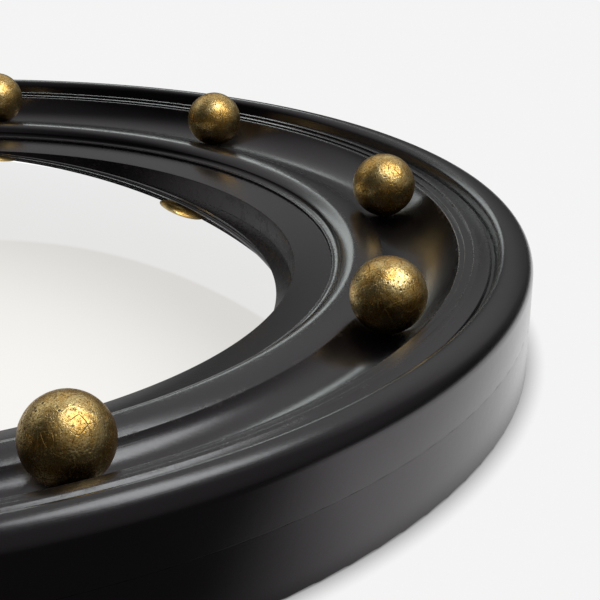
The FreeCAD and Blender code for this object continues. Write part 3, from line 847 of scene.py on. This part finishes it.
@dataclass
class Frame:
    """The turned frame: rear ring, front moulding and sight slip in black lacquer."""

    soft: float = 0.34
    seam_soft: float = 0.22
    wall: float = 239.9
    seam: float = 21.0
    moulding_arrises: tuple[float, ...] = (0.1709, 0.1787, 0.1882, 0.21465, 0.2195, 0.2213, 0.2253)
    slip_arrises: tuple[float, ...] = (0.1562, 0.1700)

    def moulding(self) -> Outline:
        """Draw the front moulding, from the step out to the side wall.

        Returns:
            Its half section.
        """
        soft = self.soft
        return (Outline(170.1, self.seam).line(170.1, 24.9, 0.15).line(170.9, 24.9, 0.12)
                .arc(173.1, 26.8, 2.224, False, 0.1)
                .arc(178.7, 29.6, 7.0, True)
                .arc(188.2, 28.2, 32.93, True, soft)
                .arc(214.65, 34.4, 18.1, False, soft)
                .line(216.5, 34.4).line(216.5, 35.0, 0.28).line(219.5, 35.0)
                .line(219.5, 35.8, soft).line(221.3, 35.8, soft)
                .line(224.5, 34.8).line(225.3, 34.8, 0.25).line(225.9, 33.9).line(226.7, 33.9)
                .line(227.73, 37.08)
                .arc(231.2, 39.6, 3.65, True)
                .arc(237.1, 38.13, 12.57, True)
                .arc(self.wall, 33.5, 5.27, True)
                .line(self.wall, self.seam, self.seam_soft))

    def slip(self) -> Outline:
        """Draw the sight slip.

        Returns:
            Its half section.
        """
        return (Outline(155.6, 13.6).line(156.2, 21.9, 0.3).line(170.0, 24.05, 0.3)
                .line(170.0, 20.9).line(176.0, 20.9).line(176.0, 13.6))

    def build(self) -> None:
        """Turn the two pieces that show in front and dress the ring behind them."""
        maker = lathe_tree()
        lacquer = Lacquer("lacquer_moulding", arrises=self.moulding_arrises).make()
        slip_lacquer = Lacquer("lacquer_slip", arrises=self.slip_arrises).make()
        for name, node, outline, finish in (
                ("moulded_front", "front_moulding", self.moulding(), lacquer),
                ("lipped_slip", "sight_slip", self.slip(), slip_lacquer)):
            piece = turn_piece(maker, name, outline, finish)
            seat(piece, node)
        dress_node("rear_ring", Lacquer("lacquer_side_wall").make())


@dataclass
class Glass:
    """The silvered dome with its felt packing."""

    dome: float = 330.7
    thickness: float = 3.0
    edge: float = 161.0
    centre: float = -278.294
    front_steps: int = 72
    back_steps: int = 36

    def section(self) -> Outline:
        """Draw the glass, its back and front arcs about one centre.

        Returns:
            Its half section.
        """
        inner = self.dome - self.thickness
        cosine = math.sqrt(1 - (self.edge / self.dome) ** 2)
        outline = Outline(0.0, self.centre + inner).line(0.0, self.centre + self.dome)
        end = math.asin(self.edge / self.dome)
        for step in range(1, self.front_steps + 1):
            angle = end * step / self.front_steps
            outline.line(self.dome * math.sin(angle), self.centre + self.dome * math.cos(angle))
        outline.line(self.edge * inner / self.dome, self.centre + inner * cosine)
        for step in range(self.back_steps - 1, 0, -1):
            angle = end * step / self.back_steps
            outline.line(inner * math.sin(angle), self.centre + inner * math.cos(angle))
        return outline

    def build(self) -> None:
        """Blow the dome in place of its CAD node and dress the packing."""
        piece = turn_piece(lathe_tree(), "silvered_dome", self.section(), Silvering().make())
        seat(piece, "convex_glass")
        dress_node("packing_ring", Felt().make())


@dataclass
class GildedBalls:
    """The ten balls in the cove."""

    count: int = 10
    dent_depth: float = 0.00028
    wrinkle_depth: float = 0.00012
    seed_step: float = 3.7

    def build(self) -> None:
        """Lay each ball with leaf in place of its CAD node."""
        maker = ball_tree()
        leaf = GoldLeaf().make()
        for number in range(1, self.count + 1):
            node = f"gilt_ball_{number:02d}"
            low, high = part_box(node)
            piece = maker.run(f"leafed_ball_{number:02d}", bpy.data.meshes.new("start"), {
                "Radius": (high.x - low.x) / 2, "Dent depth": self.dent_depth,
                "Wrinkle depth": self.wrinkle_depth, "Centre": tuple((low + high) / 2),
                "Seed": self.seed_step * number, "Material": leaf})
            seat(piece, node)


@dataclass
class ScrewSet:
    """One kind of slotted round-head wood screw and the node whose places it takes."""

    node: str
    shank: float
    head: float
    head_height: float
    slot_width: float = 0.0009
    slot_depth: float = 0.0007
    pitch: float = 0.0012
    tip: float = 0.0025
    around: int = 28
    thread_rows: int = 7
    plain_share: float = 0.28
    slot_turn: float = math.radians(37.0)

    def outline(self, length: float) -> list[Place]:
        """Half section of the head, from its crown to the shank.

        Args:
            length: from the bearing face to the point.

        Returns:
            Points as (radius, height), the head below zero.
        """
        points: list[Place] = [(0.0, -self.head_height)]
        for step in range(1, 10):
            angle = math.radians(90.0 * step / 9)
            points.append((self.head * math.sin(angle),
                           -self.head_height * (0.3 + 0.7 * math.cos(angle))))
        points += [(self.head, -self.head_height * 0.06), (self.head * 0.97, 0.0),
                   (self.shank * 0.98, 0.0), (self.shank * 0.98, length * self.plain_share)]
        return points

    def master(self, length: float) -> bpy.types.Object:
        """Build one screw, point up, its bearing face at the origin.

        Args:
            length: from the bearing face to the point.

        Returns:
            The screw's object.
        """
        mesh = bpy.data.meshes.new(self.node + "_master")
        shape = bmesh.new()
        rows: list[list[bmesh.types.BMVert]] = []
        ways = [(math.cos(2 * math.pi * i / self.around), math.sin(2 * math.pi * i / self.around))
                for i in range(self.around)]
        points = self.outline(length)
        for radius, height in points[1:]:
            rows.append([shape.verts.new((radius * x, radius * y, height)) for x, y in ways])
        top = shape.verts.new((0.0, 0.0, points[0][1]))
        steps = self.thread_rows
        start = length * self.plain_share
        turns = (length - start) / self.pitch
        for row in range(1, int(turns * steps) + 1):
            crest = 1.0 - abs(2 * (row % steps) / steps - 1.0)
            ring = []
            for i, (x, y) in enumerate(ways):
                height = min(start + (row / steps + i / self.around) * self.pitch, length)
                fade = min(1.0, max(0.02, (length - height) / self.tip))
                radius = self.shank * (0.72 + 0.27 * crest ** 1.5) * fade
                ring.append(shape.verts.new((radius * x, radius * y, height)))
            rows.append(ring)
        point = shape.verts.new((0.0, 0.0, length))
        for first, second in zip(rows, rows[1:]):
            for i in range(self.around):
                j = (i + 1) % self.around
                shape.faces.new((first[i], first[j], second[j], second[i]))
        for i in range(self.around):
            j = (i + 1) % self.around
            shape.faces.new((top, rows[0][j], rows[0][i]))
            shape.faces.new((point, rows[-1][i], rows[-1][j]))
        bmesh.ops.recalc_face_normals(shape, faces=shape.faces)
        shape.to_mesh(mesh)
        shape.free()
        screw = place(self.node + "_master", mesh)
        self.cut_slot(screw)
        return screw

    def cut_slot(self, screw: bpy.types.Object) -> None:
        """Cut the driver slot into the head.

        Args:
            screw: the master screw.
        """
        mesh = bpy.data.meshes.new("slot_cutter")
        shape = bmesh.new()
        bmesh.ops.create_cube(shape, size=1.0, matrix=(
            Matrix.Translation((0.0, 0.0, -self.head_height - self.slot_depth * 0.5))
            @ Matrix.Diagonal((self.head * 2.4, self.slot_width, self.slot_depth * 3.0, 1.0))))
        shape.to_mesh(mesh)
        shape.free()
        cutter = place("slot_cutter", mesh)
        cut = screw.modifiers.new("slot", "BOOLEAN")
        cut.operation = "DIFFERENCE"
        cut.solver = "EXACT"
        cut.object = cutter
        bpy.context.view_layer.update()
        graph = bpy.context.evaluated_depsgraph_get()
        done = bpy.data.meshes.new_from_object(screw.evaluated_get(graph))
        screw.modifiers.clear()
        screw.data = done
        bpy.data.objects.remove(cutter)
        for face in done.polygons:
            face.use_smooth = abs(face.normal.z) < 0.985

    def build(self, maker: MakerTree, metal: bpy.types.Material, slot: Slot) -> None:
        """Put the screws in place of their CAD node.

        Args:
            maker: the tree that sets them out.
            metal: their finish.
            slot: the record's slot; not used.
        """
        places = islands(self.node)
        low, high = places[0][1], places[0][2]
        bearing = low + self.head_height
        screw = self.master(high - bearing)
        points = bpy.data.meshes.new(self.node + "_points")
        points.from_pydata([(x, y, bearing) for (x, y), _, _ in places], [], [])
        piece = maker.run(self.node + "_threaded", points, {
            "Master": screw, "Slot turn": self.slot_turn, "Material": metal})
        bpy.data.objects.remove(screw)
        seat(piece, self.node)


@dataclass
class Back:
    """The board, the turn buttons and the strap hangers of the recessed back."""

    buttons: tuple[str, ...] = ("1", "2", "3", "4")
    sides: tuple[str, ...] = ("right", "left")

    def build(self) -> None:
        """Dress the board and the fittings, and set the screws."""
        zinc = Metal("zinc_plate", (0.62, 0.62, 0.60), (0.40, 0.40, 0.38), 0.34).make()
        nickel = Metal("nickel_plate", (0.66, 0.64, 0.60), (0.42, 0.39, 0.35), 0.24).make()
        brass = Metal("stamped_brass", (0.72, 0.52, 0.24), (0.36, 0.23, 0.10), 0.28).make()
        dress_node("back_board", PressedBoard().make())
        for number in self.buttons:
            dress_node("turn_button_" + number, brass)
        for side in self.sides:
            dress_node("hanger_strap_" + side, nickel)
            dress_node("hanger_ring_" + side, nickel)
        maker = screw_tree()
        ScrewSet("ball_screws", 0.0015, 0.0030, 0.0016).build(maker, zinc, Slot.ZINC)
        ScrewSet("frame_screws", 0.0020, 0.0040, 0.0024, pitch=0.0016).build(
            maker, zinc, Slot.ZINC)
        ScrewSet("button_screws", 0.0016, 0.0032, 0.0016).build(maker, brass, Slot.BRASS)
        ScrewSet("hanger_screws", 0.0015, 0.0029, 0.0014).build(maker, nickel, Slot.NICKEL)


# ------------------------------------------------------------------ studio


class Lit(Enum):
    """What a lamp lights: the moulding alone, or all but the flagged pieces."""

    MOULDING = "INCLUDE"
    REST = "EXCLUDE"


@dataclass(frozen=True)
class Lamp:
    """A soft rectangular lamp, placed by the direction it comes from."""

    name: str
    turn: float
    rise: float
    distance: float
    width: float
    height: float
    radiance: float
    lit: Lit
    tint: Colour = (1.0, 1.0, 1.0)

    def build(self) -> bpy.types.Object:
        """Add the lamp, facing the object.

        Returns:
            The lamp.
        """
        data = bpy.data.lights.new(self.name, "AREA")
        data.shape = "RECTANGLE"
        data.size, data.size_y = self.width, self.height
        data.energy = self.radiance * math.pi * self.width * self.height
        data.color = self.tint
        turn, rise = math.radians(self.turn), math.radians(self.rise)
        way = Vector((math.cos(turn) * math.cos(rise), math.sin(turn) * math.cos(rise),
                      math.sin(rise)))
        lamp = place(self.name, data)
        lamp.location = way * self.distance
        lamp.rotation_euler = way.to_track_quat("Z", "Y").to_euler()
        lamp.visible_camera = False
        return lamp


@dataclass
class Studio:
    """Pale floor, soft lamps, pale world and the camera of the photograph."""

    floor_radius: float = 6.0
    floor_drop: float = 0.0002
    floor_matt: float = 0.12
    floor_gain: float = 0.4
    # reach of the painted contact shadow: ambient occlusion darkens the floor's glow
    painted_shadow_reach: float = 0.007
    # painted shade on the floor as reflections see it: pale behind the object, dark in front of it
    # and far off
    painted_shade_way: Way = (0.35, 0.94, 0.0)
    painted_shade_edge: tuple[float, float] = (-0.196, -0.138)
    painted_fade_reach: tuple[float, float] = (0.34, 0.60)
    pale: float = 0.905
    dark: float = 0.02
    overhead: float = 0.30
    overhead_way: Way = (0.406, -0.406, 0.819)
    back_way: Way = (0.0, 1.0, 0.0)
    wall_low: float = 0.13
    wall_high: float = 0.56
    wall_grey: float = 0.866
    ceiling: Colour = (1.0, 0.985, 0.96)
    ceiling_edge: tuple[float, float] = (0.640, 0.660)
    ceiling_lean: float = 0.39
    camera_at: Way = (0.02670152, -0.49302948, 0.189336)
    camera_right: Way = (0.96410016, -0.26529893, 0.01128569)
    camera_up: Way = (0.08552714, 0.35048163, 0.93265628)
    focal_pixels: float = 1360.18
    picture: int = 600
    lamps: tuple[Lamp, ...] = (
        Lamp("leaf_lamp", -40.0, 61.0, 1.5, 1.1, 1.2, 2.7, Lit.REST),
        Lamp("rim_lamp", 51.0, 63.0, 1.6, 0.56, 0.50, 7.2, Lit.MOULDING, (0.91, 1.0, 0.97)),
        Lamp("shoulder_lamp", 78.0, 19.3, 0.614, 0.36, 0.10, 2.4, Lit.MOULDING,
             (0.91, 1.0, 0.97)))

    def build(self) -> None:
        """Build floor, world and camera."""
        self.floor()
        self.world()
        self.camera()

    def light(self, flagged: Sequence[bpy.types.Object]) -> None:
        """Set up the lamps; the clean glass shows the pale studio and none of them.

        Args:
            flagged: the lacquered pieces and the glass, the moulding with its own lamps first.
        """
        for lamp in self.lamps:
            made = lamp.build()
            group = bpy.data.collections.new(lamp.name + "_lights")
            made.light_linking.receiver_collection = group
            for piece in flagged[:1] if lamp.lit is Lit.MOULDING else flagged:
                group.objects.link(piece)
            for item in group.collection_objects:
                item.light_linking.link_state = lamp.lit.value

    def seen(self, book: NodeBook, glossy: object) -> bpy.types.NodeSocket:
        """How far a ray sees the pale background and not the light of the room.

        Args:
            book: the tree.
            glossy: the share that satin gloss sees past the black flags; on the floor that share
                is painted by place, with no flag there.

        Returns:
            1 for the camera, a clean mirror and clear glass, and the share for satin gloss.
        """
        path = book.add("ShaderNodeLightPath").outputs
        first = book.math("LESS_THAN", path["Ray Depth"], 2.5)
        clean = book.math("MULTIPLY", path["Is Singular Ray"], first)
        sharp = book.math("MAXIMUM", path["Is Camera Ray"], clean)
        sharp = book.math("MAXIMUM", sharp, path["Is Transmission Ray"])
        return book.math("MAXIMUM", sharp, book.math("MULTIPLY", path["Is Glossy Ray"], glossy))

    def floor(self) -> None:
        """A round pale floor whose glow carries a painted contact shadow; in reflections it is
        painted pale behind the object and dark in front and far off.
        """
        mesh = bpy.data.meshes.new("floor")
        shape = bmesh.new()
        bmesh.ops.create_circle(shape, cap_ends=True, radius=self.floor_radius, segments=96,
                                matrix=Matrix.Translation((0.0, 0.0, -self.floor_drop)))
        shape.to_mesh(mesh)
        shape.free()
        floor = place("floor", mesh)
        material = bpy.data.materials.new("pale_floor")
        material.use_nodes = True
        book = NodeBook(material.node_tree)
        out = book.add("ShaderNodeOutputMaterial")
        matt = book.add("ShaderNodeBsdfDiffuse")
        matt.inputs["Color"].default_value = (*(self.floor_matt,) * 3, 1.0)
        # painted contact shadow: ambient occlusion darkens the floor's glow beside the object
        near = book.add("ShaderNodeAmbientOcclusion", samples=24)
        near.inputs["Distance"].default_value = self.painted_shadow_reach
        here = book.add("ShaderNodeTexCoord").outputs["Object"]
        side = book.add("ShaderNodeVectorMath", operation="DOT_PRODUCT")
        book.put(here, side.inputs[0])
        side.inputs[1].default_value = self.painted_shade_way
        reach = book.add("ShaderNodeVectorMath", operation="LENGTH")
        book.put(here, reach.inputs[0])
        # painted light and shade seen in reflections: the floor's glow shows behind the object and
        # gives way to the dark matt floor in front and far off
        painted_pale_share = book.math("MULTIPLY", book.remap(side.outputs["Value"], *self.painted_shade_edge),
                               book.remap(reach.outputs["Value"], *self.painted_fade_reach, 1.0, 0.1))
        path = book.add("ShaderNodeLightPath").outputs
        # reflections see the floor's glow brighter than the camera does
        gloss = book.math("MULTIPLY", path["Is Glossy Ray"], self.floor_gain)
        glow = book.add("ShaderNodeEmission")
        book.put(book.math("MULTIPLY", book.math("MULTIPLY", near.outputs["AO"], self.pale),
                           book.math("ADD", gloss, 1.0)), glow.inputs["Strength"])
        mix = book.add("ShaderNodeMixShader")
        book.put(self.seen(book, painted_pale_share), mix.inputs[0])
        book.put(matt.outputs[0], mix.inputs[1])
        book.put(glow.outputs[0], mix.inputs[2])
        book.put(mix.outputs[0], out.inputs[0])
        mesh.materials.append(material)

    def world(self) -> None:
        """A soft room with black flags in front, and pale where the background is seen."""
        world = bpy.data.worlds.new("studio")
        bpy.context.scene.world = world
        world.use_nodes = True
        book = NodeBook(world.node_tree)
        out = book.add("ShaderNodeOutputWorld")
        way = book.add("ShaderNodeTexCoord").outputs["Generated"]
        split = book.add("ShaderNodeSeparateXYZ")
        book.put(way, split.inputs[0])
        across, _, up = split.outputs
        parts = []
        for direction in (self.overhead_way, self.back_way):
            dot = book.add("ShaderNodeVectorMath", operation="DOT_PRODUCT")
            book.put(way, dot.inputs[0])
            dot.inputs[1].default_value = direction
            parts.append(dot.outputs["Value"])
        room = book.add("ShaderNodeBackground")
        room.inputs["Color"].default_value = (1.0, 1.0, 1.0, 1.0)
        book.put(book.remap(parts[0], 0.3, 0.95, self.dark, self.overhead),
                 room.inputs["Strength"])
        wall = book.math("MULTIPLY", book.remap(parts[1], 0.12, 0.62),
                         book.math("ADD", book.remap(up, 0.20, 0.56, 0.0, self.wall_high),
                                   book.remap(up, 0.02, 0.14, 0.0, self.wall_low)))
        line = book.math("ADD", up, book.math("MULTIPLY", across, self.ceiling_lean))
        over = book.remap(line, *self.ceiling_edge)
        high = book.remap(up, 0.5, 0.93, 0.775, 1.03)
        sky = book.mix(over, (self.wall_grey,) * 3, self.ceiling)
        tone = book.add("ShaderNodeVectorMath", operation="SCALE")
        book.put(sky, tone.inputs[0])
        book.put(book.math("ADD", book.math("MULTIPLY", over, high),
                           book.math("SUBTRACT", 1.0, over)), tone.inputs["Scale"])
        path = book.add("ShaderNodeLightPath").outputs
        mirrored = book.math("MULTIPLY", path["Is Singular Ray"],
                             book.math("SUBTRACT", 1.0, path["Is Camera Ray"]))
        pale = book.add("ShaderNodeBackground")
        book.put(book.mix(mirrored, (self.pale,) * 3, tone.outputs[0]), pale.inputs["Color"])
        mix = book.add("ShaderNodeMixShader")
        book.put(self.seen(book, wall), mix.inputs[0])
        book.put(room.outputs[0], mix.inputs[1])
        book.put(pale.outputs[0], mix.inputs[2])
        book.put(mix.outputs[0], out.inputs[0])

    def camera(self) -> None:
        """The camera at the photograph's place and angle."""
        data = bpy.data.cameras.new("camera")
        data.sensor_width = 36.0
        data.lens = self.focal_pixels * data.sensor_width / self.picture
        data.clip_start, data.clip_end = 0.01, 100.0
        right, up = Vector(self.camera_right).normalized(), Vector(self.camera_up).normalized()
        back = right.cross(up)
        turn = Matrix((right, up, back)).transposed().to_4x4()
        camera = place("camera", data)
        camera.matrix_world = Matrix.Translation(self.camera_at) @ turn
        bpy.context.scene.camera = camera


def main() -> None:
    """Build the sub-assemblies in order."""
    logging.basicConfig(level=logging.INFO, format="%(name)s: %(message)s")
    bpy.context.scene.view_settings.view_transform = "Standard"
    studio = Studio()
    for part in (studio, Frame(), Glass(), GildedBalls(), Back()):
        part.build()
        log.info("%s built", type(part).__name__)
    studio.light([bpy.data.objects[name] for name in (
        "moulded_front", "lipped_slip", "rear_ring", "silvered_dome")])


if __name__ == "__main__":
    main()
